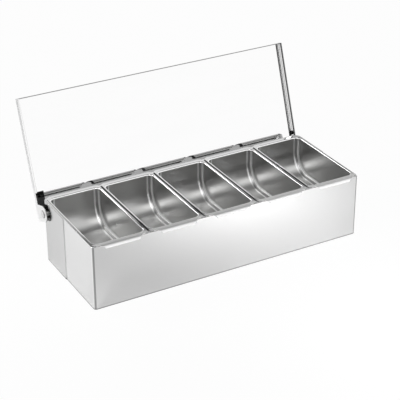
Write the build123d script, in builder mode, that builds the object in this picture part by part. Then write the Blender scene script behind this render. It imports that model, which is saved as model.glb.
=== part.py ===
from build123d import *
from math import cos, radians, sin
import os

# Condiment caddy: a folded sheet steel case with five lift-out pans and one hinged lid.
# Millimetres. The origin is the centre of the underside; the front faces -Y, the lid leans over +Y.
# The part is drawn as it is photographed, with the lid open on its stops and the pans seated.

# ---- case ----
case_length = 460.0             # outside, along X
case_depth = 170.0              # outside, along Y
case_height = 104.0             # underside to the top of the ledge
case_sheet = 1.0                # steel sheet of the case
case_bend = 4.3                 # outside radius of the upright bends
case_top_bend = 1.6             # outside radius where a wall turns into the ledge
case_end_ledge = 4.8            # inward ledge along the front and the rear
case_side_ledge = 4.5           # inward ledge along both sides
seam_from_rear = 71.0           # from the rear face to the upright seam in each side
seam_lap = 12.0                 # how far the front sheet runs on behind the rear sheet
seam_clearance = 0.05           # between the lapped sheets

# ---- base plate, inside the walls ----
base_sheet = 1.0
base_clearance = 0.1            # to the inside of the walls

# ---- pans ----
pan_count = 5
pan_row_margin = 2.0            # from each end of the case to the pans' row
pan_gap = 3.0                   # between neighbouring rims
pan_sheet = 0.8
pan_rim_corner = 5.0            # outside corner radius of the rim
pan_side_rim = 2.45             # rim beyond the outside of the pan wall, left and right
pan_end_rim = 6.2               # the same at the front and the rear
pan_depth = 61.0                # rim top to the inside of the floor
pan_floor_curve = 37.0          # inside radius of the sweep from end wall to floor
pan_corner = 9.0                # inside radius of the upright corners and the floor sides
pan_rim_bend = 1.2              # under the rim, where the wall turns out

# ---- grip lips of the pans ----
lip_radius = 7.0                # outside radius of the curl
front_lip_inset = 9.5           # from each end of the rim to the end of the lip
front_lip_end_taper = 10.0      # how much each end narrows towards the tip
front_lip_sweep = 65.0          # degrees of curl
rear_lip_inset = 4.25
rear_lip_end_taper = 6.0
rear_lip_sweep = 80.0

# ---- hinge ----
hinge_from_rear = 7.0           # hinge line, in front of the rear face
hinge_below_top = 21.5          # hinge line, under the top of the ledge
rivet_radius = 2.5
rivet_head_radius = 6.0
rivet_head_height = 1.6
rivet_head_round = 1.0          # radius round the head's outer edge
rivet_tail_radius = 4.0         # closed end inside the case
rivet_tail_height = 1.5
rivet_hole_clearance = 0.05     # in the case wall and the spacer
spacer_radius = 4.0
ear_running_clearance = 0.08    # between the ear and the rivet
ear_side_clearance = 0.15       # between the ear and the faces beside it

# ---- lid ----
lid_sheet = 1.0
lid_open_angle = 109.0          # from closed to resting on the stops
lid_side_gap = 3.5              # case side to the inside of the lid flange
lid_reach = 176.5               # hinge line to the front edge
lid_tail = 10.0                 # hinge line to the rear edge
lid_rise = 26.0                 # hinge line to the underside of the lid plate
lid_flange = 10.0               # side flange, from the outside of the plate
lid_roll_radius = 1.6           # outside radius of the rolled edge of the side flange
lid_front_lip = 7.0             # front lip, from the outside of the plate
lid_bend = 2.0                  # outside bend radius
ear_radius = 13.0
stop_tab_width = 7.0
stop_tab_clearance = 0.1        # left between the stop tab and the rear wall

# ---- worked out from the values above ----
front_face = -case_depth / 2
rear_face = case_depth / 2
seam_y = rear_face - seam_from_rear
front_wrap_length = case_length - 2 * (case_sheet + seam_clearance)
hinge_y = rear_face - hinge_from_rear
hinge_z = case_height - hinge_below_top
lid_lean = radians(lid_open_angle - 90.0)
lid_inner_length = case_length + 2 * lid_side_gap
lid_outer_length = lid_inner_length + 2 * lid_sheet
pan_pitch = (case_length - 2 * pan_row_margin) / pan_count
pan_rim_width = pan_pitch - pan_gap
pan_body_length = case_depth - 2 * pan_end_rim
pan_body_width = pan_rim_width - 2 * pan_side_rim
pan_body_depth = pan_depth + pan_sheet
rim_top = case_height + pan_sheet

os.makedirs("parts", exist_ok=True)


def hand_over(sub_part, name):
    """Label one sub-part and write its STEP file."""
    sub_part.part.label = name
    export_step(sub_part.part, f"parts/{name}.step")


def front_outline(inset, y_end):
    """U-shaped outline of the front sheet, its open side cut off at y_end."""
    depth = y_end - front_face - inset
    with BuildSketch(Plane.XY) as outline:
        with Locations((0, front_face + inset + depth / 2)):
            Rectangle(front_wrap_length - 2 * inset, depth)
        fillet(outline.vertices().group_by(Axis.Y)[0], case_bend - inset)
    return outline.sketch


def rear_outline(inset, y_start):
    """U-shaped outline of the rear sheet, its open side cut off at y_start."""
    depth = rear_face - inset - y_start
    with BuildSketch(Plane.XY) as outline:
        with Locations((0, y_start + depth / 2)):
            Rectangle(case_length - 2 * inset, depth)
        fillet(outline.vertices().group_by(Axis.Y)[-1], case_bend - inset)
    return outline.sketch


# ---- front sheet of the case: front wall and the forward part of both sides ----
with BuildPart() as front_wrap:
    lap_end = seam_y + seam_lap
    with BuildSketch(Plane.XY):
        add(front_outline(0, seam_y - seam_clearance))
    extrude(amount=case_height)
    fillet(front_wrap.faces().sort_by(Axis.Z)[-1].edges().group_by(Axis.Y)[:-1], case_top_bend)
    with BuildSketch(Plane.XY):
        add(front_outline(case_sheet, seam_y))
    extrude(amount=case_height - case_sheet, mode=Mode.SUBTRACT)
    with BuildSketch(Plane.XY.offset(case_height)):
        with Locations((0, front_face + case_end_ledge + case_depth / 2)):
            Rectangle(case_length - 2 * case_side_ledge, case_depth)
    extrude(amount=-2 * case_sheet, mode=Mode.SUBTRACT)
    # tongues that run on behind the rear sheet, under its ledge
    tongue_height = case_height - case_top_bend - case_sheet
    tongue_x = front_wrap_length / 2 - case_sheet / 2
    with BuildSketch(Plane.XY):
        with Locations((-tongue_x, (seam_y + lap_end) / 2), (tongue_x, (seam_y + lap_end) / 2)):
            Rectangle(case_sheet, seam_lap)
        with Locations((-tongue_x, seam_y), (tongue_x, seam_y)):
            Rectangle(case_sheet, case_sheet)
    extrude(amount=tongue_height)
hand_over(front_wrap, "front_wrap")

# ---- rear sheet of the case: rear wall and the rearward part of both sides ----
with BuildPart() as rear_wrap:
    with BuildSketch(Plane.XY):
        add(rear_outline(0, seam_y))
    extrude(amount=case_height)
    fillet(rear_wrap.faces().sort_by(Axis.Z)[-1].edges().group_by(Axis.Y)[1:], case_top_bend)
    with BuildSketch(Plane.XY):
        add(rear_outline(case_sheet, seam_y - case_sheet))
    extrude(amount=case_height - case_sheet, mode=Mode.SUBTRACT)
    with BuildSketch(Plane.XY.offset(case_height)):
        with Locations((0, rear_face - case_end_ledge - case_depth / 2)):
            Rectangle(case_length - 2 * case_side_ledge, case_depth)
    extrude(amount=-2 * case_sheet, mode=Mode.SUBTRACT)
    with BuildSketch(Plane.YZ):
        with Locations((hinge_y, hinge_z)):
            Circle(rivet_radius + rivet_hole_clearance)
    extrude(amount=case_length, both=True, mode=Mode.SUBTRACT)
hand_over(rear_wrap, "rear_wrap")

# ---- base plate ----
with BuildPart() as base_plate:
    plate_length = front_wrap_length - 2 * (case_sheet + base_clearance)
    plate_depth = case_depth - 2 * (case_sheet + base_clearance)
    with BuildSketch(Plane.XY):
        RectangleRounded(plate_length, plate_depth, case_bend - case_sheet)
    extrude(amount=base_sheet)
hand_over(base_plate, "base_plate")


def add_lip(centre_x, facing, inset, taper, sweep):
    """Curl one grip lip out and down from the rim; facing is -1 for the front, 1 for the rear."""
    width = pan_rim_width - 2 * inset
    root_y = facing * case_depth / 2
    curl_z = rim_top - lip_radius
    turn = -facing * sweep
    with BuildSketch(Plane.YZ.offset(centre_x)) as curl:
        with BuildLine():
            outside = CenterArc((root_y, curl_z), lip_radius, 90.0, turn)
            inside = CenterArc((root_y, curl_z), lip_radius - pan_sheet, 90.0, turn)
            Line(outside @ 0, inside @ 0)
            Line(outside @ 1, inside @ 1)
        make_face()
    extrude(curl.sketch, amount=width / 2, both=True)
    reach = facing * (lip_radius + pan_sheet)
    with BuildSketch(Plane.XY.offset(rim_top + pan_sheet)) as end_cuts:
        for side in (-1, 1):
            with BuildLine():
                Polyline(
                    (centre_x + side * width / 2, root_y),
                    (centre_x + side * (width / 2 - taper), root_y + reach),
                    (centre_x + side * (width / 2 + taper), root_y + reach),
                    (centre_x + side * (width / 2 + taper), root_y),
                    close=True,
                )
            make_face()
    extrude(end_cuts.sketch, amount=-2 * lip_radius, mode=Mode.SUBTRACT)


def build_pan(centre_x):
    """One drawn steel pan, hanging by its rim, centred on centre_x."""
    with BuildPart() as pan:
        # outside of the drawn body, both ends swept into the floor
        with BuildSketch(Plane.YZ.offset(centre_x - pan_body_width / 2)) as side_view:
            with Locations((0, rim_top - pan_body_depth / 2)):
                Rectangle(pan_body_length, pan_body_depth)
            fillet(side_view.vertices().group_by(Axis.Y)[0], pan_floor_curve + pan_sheet)
        extrude(amount=pan_body_width)
        top_face = pan.faces().sort_by(Axis.Z)[-1]
        side_edges = pan.faces().sort_by(Axis.X)[0].edges() + pan.faces().sort_by(Axis.X)[-1].edges()
        fillet(side_edges - top_face.edges(), pan_corner + pan_sheet)
        offset(amount=-pan_sheet, openings=pan.faces().sort_by(Axis.Z)[-1])
        # flat rim
        with BuildSketch(Plane.XY.offset(case_height)):
            with Locations((centre_x, 0)):
                RectangleRounded(pan_rim_width, case_depth, pan_rim_corner)
                RectangleRounded(
                    pan_body_width - 2 * pan_sheet,
                    pan_body_length - 2 * pan_sheet,
                    pan_corner,
                    mode=Mode.SUBTRACT,
                )
        extrude(amount=pan_sheet)
        # bends between wall and rim
        under_rim = pan.faces().filter_by(Plane.XY).group_by(Axis.Z)[-2][0]
        fillet(under_rim.inner_wires()[0].edges(), pan_rim_bend)
        rim_face = pan.faces().sort_by(Axis.Z)[-1]
        fillet(rim_face.inner_wires()[0].edges(), pan_rim_bend + pan_sheet)
        add_lip(centre_x, -1, front_lip_inset, front_lip_end_taper, front_lip_sweep)
        add_lip(centre_x, 1, rear_lip_inset, rear_lip_end_taper, rear_lip_sweep)
    return pan


for number in range(1, pan_count + 1):
    pan_x = (number - (pan_count + 1) / 2) * pan_pitch
    hand_over(build_pan(pan_x), f"pan_{number}")

# ---- lid: plate, side flanges with rolled edges, front lip, ears and stop tabs, all one sheet ----
# Seen on the lid's own plane: y runs from the hinge line to the front edge, z towards the pans.
lid_plane = Plane(
    origin=(0, hinge_y, hinge_z),
    x_dir=(1, 0, 0),
    z_dir=(0, -cos(lid_lean), sin(lid_lean)),
)
plate_outside = -(lid_rise + lid_sheet)
flange_height = lid_flange - lid_roll_radius
tab_reach = (hinge_from_rear + lid_tail * sin(lid_lean) + stop_tab_clearance) / cos(lid_lean)

with BuildPart() as lid:
    lid_length_y = lid_reach + lid_tail
    lid_middle_y = (lid_reach - lid_tail) / 2
    with BuildSketch(lid_plane.offset(plate_outside)):
        with Locations((0, lid_middle_y)):
            Rectangle(lid_outer_length, lid_length_y)
    extrude(amount=flange_height)
    # bends along the front edge and both sides; the rear edge stays as cut
    outer_face = lid.faces().sort_by(Axis(lid_plane.origin, lid_plane.z_dir))[0]
    fillet(outer_face.edges().sort_by(Axis(lid_plane.origin, lid_plane.y_dir))[1:], lid_bend)
    # hollow under the plate, left open at the rear
    with BuildSketch(lid_plane.offset(plate_outside + lid_sheet)):
        with Locations((0, lid_middle_y - lid_sheet)):
            Rectangle(lid_inner_length, lid_length_y)
    extrude(amount=lid_flange, mode=Mode.SUBTRACT)
    # the front lip stands lower than the side flanges
    with BuildSketch(lid_plane.offset(plate_outside + lid_front_lip)):
        with Locations((0, lid_reach)):
            Rectangle(lid_inner_length, 2 * (lid_sheet + lid_bend))
    extrude(amount=lid_flange, mode=Mode.SUBTRACT)
    # side flanges end in edges rolled inwards, from the ears to the front edge
    roll_plane = Plane(
        origin=lid_plane.from_local_coords((0, ear_radius, plate_outside + flange_height)),
        x_dir=lid_plane.x_dir,
        z_dir=lid_plane.y_dir,
    )
    with BuildSketch(roll_plane):
        roll_x = lid_outer_length / 2 - lid_roll_radius
        with Locations((-roll_x, 0), (roll_x, 0)):
            Circle(lid_roll_radius)
            Circle(lid_roll_radius - lid_sheet, mode=Mode.SUBTRACT)
    extrude(amount=lid_reach - ear_radius)
    # ears with their rivet holes
    for side in (-1, 1):
        ear_inside = side * lid_inner_length / 2
        with BuildSketch(Plane.YZ.offset(ear_inside)):
            with Locations(Location((hinge_y, hinge_z), 180.0 - lid_open_angle)):
                with Locations((0, -lid_rise / 2)):
                    Rectangle(2 * ear_radius, lid_rise)
                Circle(ear_radius)
                Circle(rivet_radius + ear_running_clearance, mode=Mode.SUBTRACT)
        extrude(amount=side * lid_sheet)
    # stop tabs folded in at the rear ends of the flanges
    with BuildSketch(lid_plane.offset(plate_outside)):
        tab_x = (lid_inner_length - stop_tab_width) / 2
        with Locations((-tab_x, lid_sheet / 2 - lid_tail), (tab_x, lid_sheet / 2 - lid_tail)):
            Rectangle(stop_tab_width, lid_sheet)
    extrude(amount=-plate_outside - tab_reach)
hand_over(lid, "lid")

# ---- hinge rivets and spacers ----
for side, hand in ((-1, "left"), (1, "right")):
    wall_outside = case_length / 2
    wall_inside = wall_outside - case_sheet
    ear_outside = lid_outer_length / 2
    with BuildPart() as rivet:
        with BuildSketch(Plane.YZ.offset(side * (wall_inside - rivet_tail_height))):
            with Locations((hinge_y, hinge_z)):
                Circle(rivet_tail_radius)
        extrude(amount=side * rivet_tail_height)
        with BuildSketch(Plane.YZ.offset(side * wall_inside)):
            with Locations((hinge_y, hinge_z)):
                Circle(rivet_radius)
        extrude(amount=side * (ear_outside + ear_side_clearance - wall_inside))
        with BuildSketch(Plane.YZ.offset(side * (ear_outside + ear_side_clearance))):
            with Locations((hinge_y, hinge_z)):
                Circle(rivet_head_radius)
        extrude(amount=side * rivet_head_height)
        outer_rim = rivet.faces().sort_by(Axis.X)[-1 if side > 0 else 0].edges()
        fillet(outer_rim, rivet_head_round)
    hand_over(rivet, f"hinge_rivet_{hand}")

    with BuildPart() as spacer:
        with BuildSketch(Plane.YZ.offset(side * wall_outside)):
            with Locations((hinge_y, hinge_z)):
                Circle(spacer_radius)
                Circle(rivet_radius + rivet_hole_clearance, mode=Mode.SUBTRACT)
        extrude(amount=side * (lid_side_gap - ear_side_clearance))
    hand_over(spacer, f"hinge_spacer_{hand}")
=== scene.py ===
from math import cos, radians, sin

import bpy
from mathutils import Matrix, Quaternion, Vector


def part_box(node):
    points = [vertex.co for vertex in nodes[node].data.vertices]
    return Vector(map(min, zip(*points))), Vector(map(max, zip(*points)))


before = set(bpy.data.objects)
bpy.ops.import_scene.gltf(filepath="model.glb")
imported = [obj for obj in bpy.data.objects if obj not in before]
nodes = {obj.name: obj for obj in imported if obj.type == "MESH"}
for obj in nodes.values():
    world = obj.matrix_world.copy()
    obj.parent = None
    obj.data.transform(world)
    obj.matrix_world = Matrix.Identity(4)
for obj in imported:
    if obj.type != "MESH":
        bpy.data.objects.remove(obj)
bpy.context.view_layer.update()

# ---- camera ----
CAMERA_AZIMUTH = radians(-29.14)       # round from the front, towards the left end
CAMERA_ELEVATION = radians(28.02)
CAMERA_ROLL = radians(-0.27)
CAMERA_DISTANCE = 1.978
CAMERA_TARGET = Vector((-0.0066, 0.0, 0.0828))
CAMERA_LENS = 115.5                    # on a 36 mm sensor

# ---- places that the finishes, painted light and painted shade change at; a pair is where one fades into the next ----
RIM_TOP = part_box("pan_1")[1].z
RIM_LOW = RIM_TOP - 0.0022             # a little under the bend between wall and rim
RIM_START = (RIM_LOW, RIM_LOW + 0.001)
RIM_SHADE = (RIM_TOP - 0.006, RIM_TOP - 0.001)   # painted shade: the pans' outsides darken up to their rims, in the gaps between the pans
FRONT_RIM = (-0.081, -0.077)           # the front rims, ahead of the side rims
CASE_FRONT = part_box("front_wrap")[0].y
FRONT_LIP = (CASE_FRONT + 0.0002, CASE_FRONT + 0.0006)   # beyond the case's front
CASE_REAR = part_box("rear_wrap")[1].y
REAR_SHADE_FACE = (CASE_REAR - 0.0009, CASE_REAR - 0.0004)     # the rear wall's outer face, darkened as painted shade
REAR_LIP = (CASE_REAR + 0.0002, CASE_REAR + 0.0012)      # beyond the case's rear
FOOT_SHADOW_ZONE = (0.0010, 0.0018)                # painted contact shadow, a dark line where the case meets the floor
LID_LEAN = radians(19.0)
LID_FACING = Vector((0.0, -cos(LID_LEAN), sin(LID_LEAN)))
LID_ALONG = Vector((0.0, sin(LID_LEAN), cos(LID_LEAN)))
HINGE = Vector((0.0, 0.078, 0.0825))
LID_END = 0.1765                       # hinge line to the lid's front edge
LID_LIP = LID_END - 0.002              # and to the small lip along that edge
EAR_REACH = 0.012                      # hinge line to where the ear's cut edge ends
CORNER_X = -0.218                      # the plate's corner of painted shade, from the left end to here
CORNER_REACH = 0.031                   # and from the hinge line to here
CORNER_FADE = 0.0005
CORNER_LINE = (CORNER_REACH - 0.006, CORNER_REACH - 0.004)   # a painted dark reflection line, darker still, from here on
PLATE_MIDDLE = LID_FACING.dot(HINGE) - 0.0265  # half way through the plate
ROLL_HEIGHT = LID_FACING.dot(HINGE) - 0.0203   # the rolled edges start here, towards the pans
ROLL_INSIDE = 0.2310
BEND_TOP = PLATE_MIDDLE + 0.0017       # the inside of the bend between plate and flange
BEND_INSIDE = 0.2327
FLANGE_INSIDE = 0.2334                 # inner face of the lid's side flanges
EDGE = 0.0002                          # how sharp the lid's lines end

# ---- colours and grey levels of the steels and of their painted light and shade; a pair is the range that noise spreads over ----
SATIN_VARIES = 0.02                    # either side of a satin sheet's level
BEND_HIGHLIGHT = 1.0                       # painted highlight and painted dark reflection lines in the case's front upright bends
BEND_DARK_REFLECTION = 0.42
FOOT_SHADOW_GREY = 0.30
BOWL = ((0.52, 0.52, 0.515), (0.56, 0.56, 0.555))
BOWL_HIGHLIGHT = 0.97                      # painted highlight and painted dark reflection lines along the pans' corners
BOWL_DARK_REFLECTION = 0.34
# painted highlight on the bends of the rims
RIM_BEND_HIGHLIGHT = 0.97
RIM_FLAT = (0.66, 0.72)
RIM_FRONT_HIGHLIGHT = (0.96, 0.96, 0.955)     # painted highlight on the front rims and lips
# painted shade on the rear lips
REAR_LIP_SHADE = 0.34
MILL_VARIES = 0.05                     # above a mill steel's level
MIRROR = (0.96, 0.98)
# painted dark reflection along the lid's right rolled edge and bend
MIRROR_DARK_REFLECTION = (0.11, 0.13)
CORNER_SHADE_NEAR = 0.075                    # painted shade in the plate's corner, short of CORNER_LINE
CORNER_SHADE_FAR = 0.01                      # and past it, where it is a painted dark reflection line
RIVET = (0.86, 0.92)

# ---- studio ----
FLOOR_HALF = 6.0
FLOOR_BELOW = 0.0003                   # under the case, so that the two don't meet
FLOOR_GREY = 0.5
FLOOR_SEEN_WHITE = 0.97                # share of plain white that the camera sees
FLOOR_MIRRORED_WHITE = 0.27            # and that the metal sees
CARD_MIDDLE = Vector((-1.60, -2.60, 0.92))   # of its lower edge
CARD_HALF_WIDTH = 1.2
CARD_HEIGHT = 1.4
CARD_GREY = 0.22


def place_camera():
    """The photograph's view: a long lens above the front left corner."""
    lens = bpy.data.cameras.new("camera")
    lens.lens = CAMERA_LENS
    lens.sensor_width = 36.0
    camera = bpy.data.objects.new("camera", lens)
    bpy.context.scene.collection.objects.link(camera)
    back = Vector((
        sin(CAMERA_AZIMUTH) * cos(CAMERA_ELEVATION),
        -cos(CAMERA_AZIMUTH) * cos(CAMERA_ELEVATION),
        sin(CAMERA_ELEVATION),
    ))
    camera.location = CAMERA_TARGET + back * CAMERA_DISTANCE
    camera.rotation_mode = "QUATERNION"
    level = (-back).to_track_quat("-Z", "Y")
    camera.rotation_quaternion = level @ Quaternion((0.0, 0.0, 1.0), CAMERA_ROLL)
    bpy.context.scene.camera = camera


# ---- materials ----
def new_material(name):
    material = bpy.data.materials.new(name)
    material.use_nodes = True
    return material, material.node_tree, material.node_tree.nodes["Principled BSDF"]


def new_steel(name):
    material, tree, steel = new_material(name)
    steel.inputs["Metallic"].default_value = 1.0
    return material, tree, steel


def fine_lines(tree, stretch, detail=4.0):
    """Noise on Object coordinates, squeezed into lines by its scale along each axis."""
    place = tree.nodes.new("ShaderNodeTexCoord")
    mapping = tree.nodes.new("ShaderNodeMapping")
    mapping.inputs["Scale"].default_value = stretch
    noise = tree.nodes.new("ShaderNodeTexNoise")
    noise.inputs["Scale"].default_value = 1.0
    noise.inputs["Detail"].default_value = detail
    tree.links.new(place.outputs["Object"], mapping.inputs["Vector"])
    tree.links.new(mapping.outputs["Vector"], noise.inputs["Vector"])
    return noise.outputs["Fac"]


def spread(tree, value, low, high, start=0.3, end=0.7):
    """Map a value from start to end on to the range low to high; noise is mostly 0.3 to 0.7."""
    span = tree.nodes.new("ShaderNodeMapRange")
    span.inputs["From Min"].default_value = start
    span.inputs["From Max"].default_value = end
    span.inputs["To Min"].default_value = low
    span.inputs["To Max"].default_value = high
    tree.links.new(value, span.inputs["Value"])
    return span.outputs["Result"]


def above(tree, value, start, end):
    """0 up to start, 1 from end on."""
    return spread(tree, value, 0.0, 1.0, start, end)


def below(tree, value, start, end):
    """1 up to start, 0 from end on."""
    return spread(tree, value, 1.0, 0.0, start, end)


def pick_axis(tree, source, axis):
    """One part of Object, the place in metres, or of Normal, the way that a face looks."""
    place = tree.nodes.new("ShaderNodeTexCoord")
    split = tree.nodes.new("ShaderNodeSeparateXYZ")
    tree.links.new(place.outputs[source], split.inputs["Vector"])
    return split.outputs[axis]


def measure(tree, source, direction):
    """How far a coordinate reaches along a direction."""
    place = tree.nodes.new("ShaderNodeTexCoord")
    product = tree.nodes.new("ShaderNodeVectorMath")
    product.operation = "DOT_PRODUCT"
    product.inputs[1].default_value = direction
    tree.links.new(place.outputs[source], product.inputs[0])
    return product.outputs["Value"]


def add_maths(tree, operation, first, second):
    maths = tree.nodes.new("ShaderNodeMath")
    maths.operation = operation
    for place, value in enumerate((first, second)):
        if isinstance(value, float):
            maths.inputs[place].default_value = value
        else:
            tree.links.new(value, maths.inputs[place])
    return maths.outputs["Value"]


def both(tree, *masks):
    """1 where every mask is 1."""
    result = masks[0]
    for mask in masks[1:]:
        result = add_maths(tree, "MULTIPLY", result, mask)
    return result


def either(tree, first, second):
    """The larger of two masks or levels."""
    return add_maths(tree, "MAXIMUM", first, second)


def tint(tree, value, dark, light):
    """Blend two colours, each a link, three numbers or one grey level, by a 0 to 1 value."""
    blend = tree.nodes.new("ShaderNodeMix")
    blend.data_type = "RGBA"
    for name, colour in (("A", dark), ("B", light)):
        if isinstance(colour, float):
            blend.inputs[name].default_value = (colour, colour, colour, 1.0)
        elif isinstance(colour, tuple):
            blend.inputs[name].default_value = (*colour, 1.0)
        else:
            tree.links.new(colour, blend.inputs[name])
    tree.links.new(value, blend.inputs["Factor"])
    return blend.outputs["Result"]


def add_ramp(tree, value, steps):
    """Grey levels at set values, straight between them."""
    ramp = tree.nodes.new("ShaderNodeValToRGB")
    marks = ramp.color_ramp.elements
    (first, first_level), *others, (last, last_level) = steps
    marks[0].position, marks[0].color = first, (first_level, first_level, first_level, 1.0)
    marks[1].position, marks[1].color = last, (last_level, last_level, last_level, 1.0)
    for position, level in others:
        marks.new(position).color = (level, level, level, 1.0)
    tree.links.new(value, ramp.inputs["Fac"])
    return ramp.outputs["Color"]


def satin_sheet(name, level, rear_shade_level, rough=0.18):
    """Rolled satin sheet, its grain level along the walls; the case's rear wall outer face is
    darkened as painted shade, the front upright bends get a painted highlight and dark reflection,
    and the foot a painted contact shadow.
    """
    material, tree, steel = new_steel(name)
    grain = fine_lines(tree, (3.0, 3.0, 900.0))
    cloud = fine_lines(tree, (9.0, 9.0, 9.0), 2.0)
    satin = tint(tree, cloud, level - SATIN_VARIES, level + SATIN_VARIES)
    rear_shade = tint(tree, cloud, rear_shade_level - SATIN_VARIES, rear_shade_level + SATIN_VARIES)
    # painted shade on the rear wall's outer face, in the slot behind the lid
    in_rear_shade = above(tree, pick_axis(tree, "Object", "Y"), *REAR_SHADE_FACE)
    sheet = tint(tree, in_rear_shade, satin, rear_shade)
    # painted highlight and painted dark reflection: the front upright bends get a light line beside
    # a dark one
    forward = add_maths(tree, "MULTIPLY", pick_axis(tree, "Normal", "Y"), -1.0)
    highlight_line = add_ramp(tree, forward, ((0.06, 0.0), (0.10, 1.0), (0.55, 1.0), (0.58, 0.0)))
    dark_reflection_line = add_ramp(tree, forward, ((0.58, 0.0), (0.62, 1.0), (0.96, 1.0), (0.99, 0.0)))
    sheet = tint(tree, highlight_line, sheet, BEND_HIGHLIGHT)
    sheet = tint(tree, dark_reflection_line, sheet, BEND_DARK_REFLECTION)
    # painted contact shadow: a dark line along the case's foot
    in_foot_shadow = below(tree, pick_axis(tree, "Object", "Z"), *FOOT_SHADOW_ZONE)
    tree.links.new(tint(tree, in_foot_shadow, sheet, FOOT_SHADOW_GREY), steel.inputs["Base Color"])
    tree.links.new(spread(tree, grain, rough, rough + 0.04), steel.inputs["Roughness"])
    return material


def drawn_satin():
    """Inside of the pans: satin in the bowl with painted highlight and dark reflection lines along
    its corners; rims with painted highlights on their bends and at the front rims and lips, and
    painted shade on the rear lips.
    """
    material, tree, steel = new_steel("pan_drawn_satin")
    cloud = fine_lines(tree, (14.0, 14.0, 14.0), 2.0)
    grain = fine_lines(tree, (260.0, 6.0, 6.0))
    depth = pick_axis(tree, "Object", "Y")
    inside = tint(tree, cloud, *BOWL)
    # painted highlight, painted dark reflection and painted highlight lines along the corners at
    # the sides, by how far a face turns sideways
    turn = add_maths(tree, "ABSOLUTE", pick_axis(tree, "Normal", "X"), 0.0)
    line = add_ramp(tree, turn, (
        (0.05, 0.5), (0.12, 1.0), (0.30, 1.0), (0.38, 0.0),
        (0.66, 0.0), (0.74, 1.0), (0.90, 1.0), (0.97, 0.5),
    ))
    bowl = tint(tree, below(tree, line, 0.0, 0.5), inside, BOWL_DARK_REFLECTION)
    bowl = tint(tree, above(tree, line, 0.5, 1.0), bowl, BOWL_HIGHLIGHT)
    # painted highlight on the rims' bends, brighter than their flat, and painted shade on the rear
    # lips, darker still
    level = above(tree, pick_axis(tree, "Normal", "Z"), 0.97, 0.99)
    rim = tint(tree, level, RIM_BEND_HIGHLIGHT, tint(tree, cloud, *RIM_FLAT))
    rim = tint(tree, above(tree, depth, *REAR_LIP), rim, REAR_LIP_SHADE)
    # painted highlight on the front rims and lips
    in_front = below(tree, depth, *FRONT_RIM)
    rim_colour = tint(tree, in_front, rim, RIM_FRONT_HIGHLIGHT)
    on_rim = above(tree, pick_axis(tree, "Object", "Z"), *RIM_START)
    on_rim = either(tree, on_rim, below(tree, depth, *FRONT_LIP))
    tree.links.new(tint(tree, on_rim, bowl, rim_colour), steel.inputs["Base Color"])
    mix = tree.nodes.new("ShaderNodeMix")
    tree.links.new(on_rim, mix.inputs["Factor"])
    tree.links.new(spread(tree, grain, 0.305, 0.315), mix.inputs["A"])
    tree.links.new(spread(tree, in_front, 0.11, 0.45, 0.0, 1.0), mix.inputs["B"])
    tree.links.new(mix.outputs["Result"], steel.inputs["Roughness"])
    return material


def mill_steel(name, top_level, low_level):
    """Dull steel, of one level at the pans' rims and another below; on the pans' outsides the dark
    level at the rims is painted shade.
    """
    material, tree, steel = new_steel(name)
    cloud = fine_lines(tree, (14.0, 14.0, 14.0), 2.0)
    top = tint(tree, cloud, top_level, top_level + MILL_VARIES)
    in_rim_shade = above(tree, pick_axis(tree, "Object", "Z"), *RIM_SHADE)
    tree.links.new(tint(tree, in_rim_shade, low_level, top), steel.inputs["Base Color"])
    tree.links.new(spread(tree, cloud, 0.34, 0.42), steel.inputs["Roughness"])
    return material


def mirror_sheet():
    """Polished lid: a mirror with faint wiping marks, painted dark reflection lines at the right
    and a corner of painted shade.
    """
    material, tree, steel = new_steel("lid_mirror_sheet")
    wipe = fine_lines(tree, (6.0, 40.0, 40.0))
    mirror = tint(tree, wipe, *MIRROR)
    dark = tint(tree, wipe, *MIRROR_DARK_REFLECTION)
    height = measure(tree, "Object", LID_FACING)
    across = pick_axis(tree, "Object", "X")
    reach = add_maths(tree, "SUBTRACT", measure(tree, "Object", LID_ALONG), LID_ALONG.dot(HINGE))
    # painted dark reflections: the right rolled edge and the bend beside it are dark lines
    inside = below(tree, across, FLANGE_INSIDE - EDGE, FLANGE_INSIDE)
    on_roll = both(
        tree,
        above(tree, height, ROLL_HEIGHT, ROLL_HEIGHT + EDGE),
        inside,
        above(tree, across, ROLL_INSIDE, ROLL_INSIDE + EDGE),
    )
    on_bend = both(
        tree,
        below(tree, height, BEND_TOP, BEND_TOP + EDGE),
        above(tree, height, PLATE_MIDDLE, PLATE_MIDDLE + EDGE),
        above(tree, across, BEND_INSIDE, BEND_INSIDE + EDGE),
        inside,
    )
    sheet = tint(tree, either(tree, on_roll, on_bend), mirror, dark)
    # painted shade: the plate darkens in its left rear corner, above the ear, on the inside only,
    # ending in a painted dark reflection line
    in_corner_shade = both(
        tree,
        below(tree, across, CORNER_X - CORNER_FADE, CORNER_X),
        below(tree, reach, CORNER_REACH - CORNER_FADE, CORNER_REACH),
        above(tree, height, PLATE_MIDDLE - EDGE / 2, PLATE_MIDDLE + EDGE / 2),
    )
    shade = tint(tree, above(tree, reach, *CORNER_LINE), CORNER_SHADE_NEAR, CORNER_SHADE_FAR)
    tree.links.new(tint(tree, in_corner_shade, sheet, shade), steel.inputs["Base Color"])
    tree.links.new(spread(tree, wipe, 0.03, 0.05), steel.inputs["Roughness"])
    return material


def bright_rivet():
    """Rivets, bright from the press."""
    material, tree, steel = new_steel("rivet_bright")
    pits = fine_lines(tree, (400.0, 400.0, 400.0))
    tree.links.new(tint(tree, pits, *RIVET), steel.inputs["Base Color"])
    tree.links.new(spread(tree, pits, 0.12, 0.20), steel.inputs["Roughness"])
    return material


def dress(node, *materials):
    """Give a node its materials, all of it the first one, and return its faces."""
    mesh = nodes[node].data
    mesh.materials.clear()
    for material in materials:
        mesh.materials.append(material)
    return mesh.polygons


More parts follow.
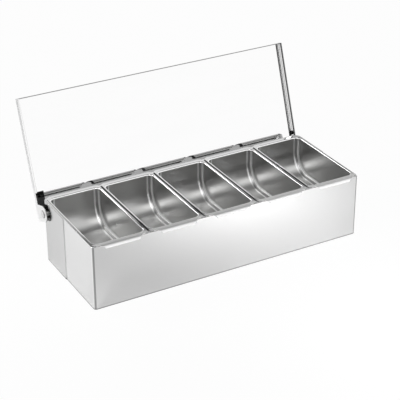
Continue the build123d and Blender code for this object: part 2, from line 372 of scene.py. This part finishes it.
def dress_pan(node, inside, outside):
    """Two materials, by whether a face looks into the pan or out of it; the outside one carries
    painted shade.
    """
    low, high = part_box(node)
    middle = (low + high) / 2
    for face in dress(node, inside, outside):
        away, normal = face.center - middle, face.normal
        looks_out = normal.x * away.x + normal.y * away.y > 0.0 and face.center.y > CASE_FRONT
        face.material_index = 1 if normal.z < -0.2 or (normal.z < 0.1 and looks_out) else 0


def dress_lid(mirror, satin, edge):
    """Mirror plate, satin outer sides, and dark cut edges round the ears and along the front."""
    for face in dress("lid", mirror, satin, edge):
        middle, normal = face.center, face.normal
        reach = (middle - HINGE).dot(LID_ALONG)
        outer_side = normal.x * middle.x > 0.9 * abs(middle.x)
        ear_edge = abs(normal.x) < 0.3 and abs(middle.x) > FLANGE_INSIDE and reach < EAR_REACH
        front_edge = reach > LID_LIP and normal.dot(LID_FACING) > 0.5
        face.material_index = 1 if outer_side else 2 if ear_edge or front_edge else 0


def dress_rivet(node, bright, edge):
    """Bright flat faces; the round sides are dark like the ear's cut edge."""
    for face in dress(node, bright, edge):
        face.material_index = 0 if abs(face.normal.x) > 0.8 else 1


def dress_all():
    front_material = satin_sheet("case_front_satin", level=0.92, rear_shade_level=0.92)
    rear_material = satin_sheet("case_rear_satin", level=0.77, rear_shade_level=0.42)
    pan_material = drawn_satin()
    # painted shade: the pans' outsides go dark up to the rims, in the gaps between the pans and on
    # the rear lips' backs
    outside_material = mill_steel("pan_outside_shaded_steel", top_level=0.14, low_level=0.50)
    edge_material = mill_steel("lid_cut_edge", top_level=0.26, low_level=0.26)
    side_material = satin_sheet("lid_side_satin", level=0.97, rear_shade_level=0.97, rough=0.50)
    lid_material = mirror_sheet()
    rivet_material = bright_rivet()
    # painted shade: the hinge spacers are darker, hidden between the ear and the case side
    spacer_shaded_material = mill_steel("hinge_spacer_shaded_steel", top_level=0.60, low_level=0.60)
    for node in nodes:
        if node.startswith("pan_"):
            dress_pan(node, pan_material, outside_material)
        elif node == "lid":
            dress_lid(lid_material, side_material, edge_material)
        elif node.startswith("hinge_rivet"):
            dress_rivet(node, rivet_material, edge_material)
        elif node.startswith("hinge_spacer"):
            dress(node, spacer_shaded_material)
        elif node == "rear_wrap":
            dress(node, rear_material)
        else:
            dress(node, front_material)


# ---- floor, world, lamps and card ----
def build_floor():
    """White floor that keeps a light shadow, and shows white and shadow in the metal."""
    corners = ((-1, -1), (1, -1), (1, 1), (-1, 1))
    mesh = bpy.data.meshes.new("floor")
    mesh.from_pydata(
        [(FLOOR_HALF * x, FLOOR_HALF * y, -FLOOR_BELOW) for x, y in corners],
        [],
        [(0, 1, 2, 3)],
    )
    floor = bpy.data.objects.new("floor", mesh)
    bpy.context.scene.collection.objects.link(floor)
    material = bpy.data.materials.new("floor_white")
    material.use_nodes = True
    tree = material.node_tree
    tree.nodes.clear()
    path = tree.nodes.new("ShaderNodeLightPath")
    lit = tree.nodes.new("ShaderNodeBsdfDiffuse")
    lit.inputs["Color"].default_value = (FLOOR_GREY, FLOOR_GREY, FLOOR_GREY, 1.0)
    white = tree.nodes.new("ShaderNodeEmission")
    seen = add_maths(tree, "MULTIPLY", path.outputs["Is Camera Ray"], FLOOR_SEEN_WHITE)
    mirrored = either(tree, path.outputs["Is Glossy Ray"], path.outputs["Is Transmission Ray"])
    mirrored = add_maths(tree, "MULTIPLY", mirrored, FLOOR_MIRRORED_WHITE)
    share = either(tree, seen, mirrored)
    mix = tree.nodes.new("ShaderNodeMixShader")
    output = tree.nodes.new("ShaderNodeOutputMaterial")
    tree.links.new(share, mix.inputs["Fac"])
    tree.links.new(lit.outputs["BSDF"], mix.inputs[1])
    tree.links.new(white.outputs["Emission"], mix.inputs[2])
    tree.links.new(mix.outputs["Shader"], output.inputs["Surface"])
    mesh.materials.append(material)


def build_world():
    """White all round and up the front, darker overhead towards the rear."""
    world = bpy.data.worlds.new("studio")
    bpy.context.scene.world = world
    world.use_nodes = True
    tree = world.node_tree
    height = measure(tree, "Generated", (0.0, 0.5, 0.87))
    sky = add_ramp(tree, height, ((0.62, 1.0), (0.75, 0.55), (0.90, 0.04)))
    tree.links.new(sky, tree.nodes["Background"].inputs["Color"])


def place_lamp(name, lamp, location, aim):
    holder = bpy.data.objects.new(name, lamp)
    bpy.context.scene.collection.objects.link(holder)
    holder.location = location
    holder.rotation_mode = "QUATERNION"
    holder.rotation_quaternion = (Vector(aim) - Vector(location)).to_track_quat("-Z", "Y")


def add_softbox(name, location, aim, size, power):
    lamp = bpy.data.lights.new(name, "AREA")
    lamp.shape = "RECTANGLE"
    lamp.size, lamp.size_y = size
    lamp.energy = power
    place_lamp(name, lamp, location, aim)


def add_spot(name, location, aim, angle, power):
    lamp = bpy.data.lights.new(name, "SPOT")
    lamp.spot_size = angle
    lamp.spot_blend = 1.0
    lamp.shadow_soft_size = 0.15
    lamp.energy = power
    place_lamp(name, lamp, location, aim)


def add_grey_card():
    """The unlit side of the studio, behind the camera."""
    mesh = bpy.data.meshes.new("dark_card")
    across = Vector((-CARD_MIDDLE.y, CARD_MIDDLE.x, 0.0)).normalized() * CARD_HALF_WIDTH
    left, right = CARD_MIDDLE - across, CARD_MIDDLE + across
    up = Vector((0.0, 0.0, CARD_HEIGHT))
    mesh.from_pydata([left, right, right + up, left + up], [], [(0, 1, 2, 3)])
    card = bpy.data.objects.new("dark_card", mesh)
    bpy.context.scene.collection.objects.link(card)
    material, tree, surface = new_material("card_dark")
    surface.inputs["Base Color"].default_value = (CARD_GREY, CARD_GREY, CARD_GREY, 1.0)
    surface.inputs["Roughness"].default_value = 0.9
    mesh.materials.append(material)
    card.visible_camera = False


place_camera()
dress_all()
build_world()
build_floor()
add_grey_card()
add_softbox(
    "softbox_upper_left",
    location=(-0.96, -0.90, 1.76),
    aim=(0.0, 0.0, 0.1),
    size=(1.0, 0.8),
    power=7.4,
)
add_spot(
    "spot_left",
    location=(-0.9, 0.6, 1.0),
    aim=(-0.42, 0.12, 0.0),
    angle=radians(30.0),
    power=80.0,
)
add_spot(
    "spot_front",
    location=(0.0, -0.95, 1.1),
    aim=(0.14, -0.35, 0.0),
    angle=radians(21.0),
    power=215.0,
)

bpy.context.scene.view_settings.view_transform = "Standard"
